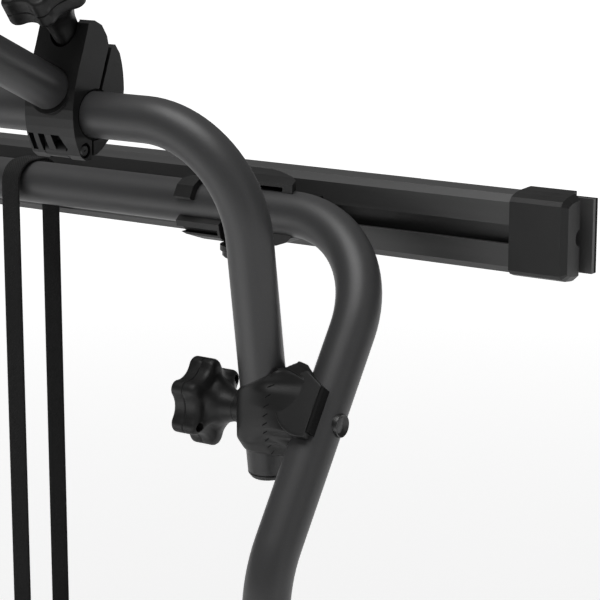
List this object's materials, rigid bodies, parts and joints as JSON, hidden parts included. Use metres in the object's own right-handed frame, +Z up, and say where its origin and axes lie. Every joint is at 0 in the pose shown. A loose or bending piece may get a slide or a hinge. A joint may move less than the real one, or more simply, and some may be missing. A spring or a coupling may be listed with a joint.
{
  "type": "van rear door bike carrier",
  "caption": "Rear door bike carrier for a van: door rails, a bent tube frame, a height-adjustable bar with claw arms and a fold-up wheel platform.",
  "frame": {"origin": "middle of the upper rail's back face, between the door brackets", "axes": "+X to the right along the rails seen from behind the van, +Y into the van, +Z up"},
  "size_m": [1.2454, 0.6688, 1.2305],
  "materials": {
    "tube_paint": "satin anthracite powder coat",
    "rail_anodised": "satin dark anodised",
    "black_plastic": "matte moulded, lightly grained",
    "bracket_plate": "satin grey coat",
    "fastener_steel": "dark zinc plated",
    "rubber": "matte",
    "webbing": "woven black webbing"
  },
  "bodies": {
    "rails": {"upper_rail": "rail_anodised", "lower_rail": "rail_anodised", "rail_end_caps": "black_plastic", "door_brackets": "bracket_plate", "door_pads": "rubber", "door_bolts": "fastener_steel"},
    "frame": {"frame_tube_upper": "tube_paint", "frame_leg_right": "tube_paint", "frame_leg_left": "tube_paint", "leg_joiners": "fastener_steel", "rail_clamp_upper_jaw_right": "black_plastic", "rail_clamp_upper_jaw_left": "black_plastic", "rail_clamp_lower_jaw_right": "black_plastic", "rail_clamp_lower_jaw_left": "black_plastic", "rail_clamp_bolts": "fastener_steel", "rail_clamp_cap_nuts": "black_plastic", "slot_nuts": "fastener_steel", "slot_screws": "fastener_steel", "foot_socket_right": "black_plastic", "foot_socket_left": "black_plastic", "foot_bolts": "fastener_steel", "coupling_block_right": "black_plastic", "coupling_block_left": "black_plastic", "coupling_pads": "rubber", "coupling_bolts": "fastener_steel", "platform_bracket_right": "bracket_plate", "platform_bracket_left": "bracket_plate", "pivot_bolts": "fastener_steel", "safety_strap": "webbing", "strap_buckle": "fastener_steel"},
    "inner_bar": {"inner_bar_tube": "tube_paint", "inner_bar_plugs": "black_plastic"},
    "platform": {"platform_tube": "tube_paint", "wheel_channel_inner": "rail_anodised", "wheel_channel_outer": "rail_anodised", "channel_end_caps": "black_plastic", "channel_saddles": "black_plastic", "wheel_straps": "webbing", "wheel_strap_buckles": "black_plastic"},
    "coupling_knob_right": {"coupling_knob_right": "black_plastic"},
    "right_liner": {"arm_liner_right": "rubber"},
    "right_arm": {"arm_front_jaw_right": "black_plastic", "arm_hinge_screw_right": "fastener_steel", "arm_tube_right": "tube_paint"},
    "right_rear_jaw": {"arm_rear_jaw_right": "black_plastic"},
    "right_arm_knob": {"arm_knob_right": "black_plastic"},
    "right_claw": {"claw_base_right": "black_plastic"},
    "right_claw_pad": {"claw_pad_right": "rubber"},
    "right_claw_knob": {"claw_knob_right": "black_plastic"},
    "coupling_knob_left": {"coupling_knob_left": "black_plastic"},
    "left_liner": {"arm_liner_left": "rubber"},
    "left_arm": {"arm_front_jaw_left": "black_plastic", "arm_hinge_screw_left": "fastener_steel", "arm_tube_left": "tube_paint"},
    "left_rear_jaw": {"arm_rear_jaw_left": "black_plastic"},
    "left_arm_knob": {"arm_knob_left": "black_plastic"},
    "left_claw": {"claw_base_left": "black_plastic"},
    "left_claw_pad": {"claw_pad_left": "rubber"},
    "left_claw_knob": {"claw_knob_left": "black_plastic"}
  },
  "joints": [
    {"name": "frame_slide", "type": "slide", "parent": "rails", "child": "frame", "axis": [1, 0, 0], "range_m": [-0.025, 0.025]},
    {"name": "bar_height", "type": "slide", "parent": "frame", "child": "inner_bar", "axis": [0, -0.1444, 0.9895], "range_m": [-0.07, 0.005]},
    {"name": "platform_fold", "type": "hinge", "parent": "frame", "child": "platform", "pos_m": [0, -0.27, -0.735], "axis": [-1, 0, 0], "range_deg": [0, 90]},
    {"name": "coupling_knob_turn_right", "type": "hinge", "parent": "frame", "child": "coupling_knob_right", "pos_m": [0.3474, -0.13388, -0.11], "axis": [-1, 0, 0], "range_deg": [0, 1080]},
    {"name": "arm_slide_right", "type": "slide", "parent": "inner_bar", "child": "right_liner", "axis": [1, 0, 0], "range_m": [-0.2, 0.035]},
    {"name": "arm_tilt_right", "type": "hinge", "parent": "right_liner", "child": "right_arm", "pos_m": [0.264, -0.161, 0.0752], "axis": [-1, 0, 0], "range_deg": [-20, 60]},
    {"name": "rear_jaw_opening_right", "type": "hinge", "parent": "right_arm", "child": "right_rear_jaw", "pos_m": [0.264, -0.171, 0.053], "axis": [-1, 0, 0], "range_deg": [0, 2.5]},
    {"name": "arm_knob_turn_right", "type": "hinge", "parent": "right_arm", "child": "right_arm_knob", "pos_m": [0.264, -0.158, 0.119], "axis": [0, -0.5736, 0.8192], "range_deg": [0, 1080]},
    {"name": "claw_turn_right", "type": "hinge", "parent": "right_arm", "child": "right_claw", "pos_m": [0.264, -0.37362, 0.18459], "axis": [0, -0.9026, 0.4305], "range_deg": [-90, 90]},
    {"name": "claw_pad_slide_right", "type": "slide", "parent": "right_claw", "child": "right_claw_pad", "axis": [0, 0.9026, -0.4305], "range_m": [0, 0.026]},
    {"name": "claw_knob_turn_right", "type": "hinge", "parent": "right_claw_pad", "child": "right_claw_knob", "pos_m": [0.264, -0.43678, 0.23799], "axis": [0, 0.9026, -0.4305], "range_deg": [0, 3120]},
    {"name": "coupling_knob_turn_left", "type": "hinge", "parent": "frame", "child": "coupling_knob_left", "pos_m": [-0.3474, -0.13388, -0.11], "axis": [1, 0, 0], "range_deg": [0, 1080]},
    {"name": "arm_slide_left", "type": "slide", "parent": "inner_bar", "child": "left_liner", "axis": [1, 0, 0], "range_m": [-0.035, 0.2]},
    {"name": "arm_tilt_left", "type": "hinge", "parent": "left_liner", "child": "left_arm", "pos_m": [-0.264, -0.161, 0.0752], "axis": [-1, 0, 0], "range_deg": [-20, 60]},
    {"name": "rear_jaw_opening_left", "type": "hinge", "parent": "left_arm", "child": "left_rear_jaw", "pos_m": [-0.264, -0.171, 0.053], "axis": [-1, 0, 0], "range_deg": [0, 2.5]},
    {"name": "arm_knob_turn_left", "type": "hinge", "parent": "left_arm", "child": "left_arm_knob", "pos_m": [-0.264, -0.158, 0.119], "axis": [0, -0.5736, 0.8192], "range_deg": [0, 1080]},
    {"name": "claw_turn_left", "type": "hinge", "parent": "left_arm", "child": "left_claw", "pos_m": [-0.264, -0.54511, 0.26639], "axis": [0, -0.9026, 0.4305], "range_deg": [-90, 90]},
    {"name": "claw_pad_slide_left", "type": "slide", "parent": "left_claw", "child": "left_claw_pad", "axis": [0, 0.9026, -0.4305], "range_m": [0, 0.026]},
    {"name": "claw_knob_turn_left", "type": "hinge", "parent": "left_claw_pad", "child": "left_claw_knob", "pos_m": [-0.264, -0.60828, 0.31978], "axis": [0, 0.9026, -0.4305], "range_deg": [0, 3120]}
  ],
  "couplings": [
    {"joint": "claw_pad_slide_right", "follows": "claw_knob_turn_right", "m_per_rad": 0.00047746},
    {"joint": "claw_pad_slide_left", "follows": "claw_knob_turn_left", "m_per_rad": 0.00047746}
  ]
}
